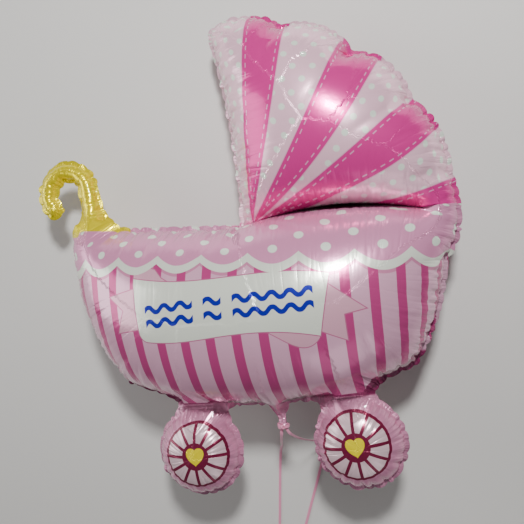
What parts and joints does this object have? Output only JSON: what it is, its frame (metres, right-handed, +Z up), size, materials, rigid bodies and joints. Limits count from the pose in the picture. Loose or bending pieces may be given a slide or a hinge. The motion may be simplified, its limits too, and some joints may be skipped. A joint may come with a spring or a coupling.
{
  "type": "foil balloon",
  "caption": "Gas-filled foil balloon in the shape of a baby carriage with a fan hood, basket, hooked handle and wheels, with ribbon strands tied round its tail.",
  "frame": {"origin": "middle of the balloon's box, ribbon strands and their knots left out, on the surface that the balloon lies on", "axes": "+Z up out of the printed front, +Y towards the top of the hood, +X from the handle towards the back of the hood"},
  "size_m": [0.7286, 0.9799, 0.2525],
  "materials": {
    "printed_foil": "pearly metallised film with a glossy print",
    "ribbon": "satin pale pink curling ribbon"
  },
  "bodies": {
    "root": {"balloon": "printed_foil", "tie": "ribbon", "strand_left": "ribbon", "strand_right": "ribbon", "knot_left": "ribbon", "knot_right": "ribbon"}
  },
  "joints": []
}
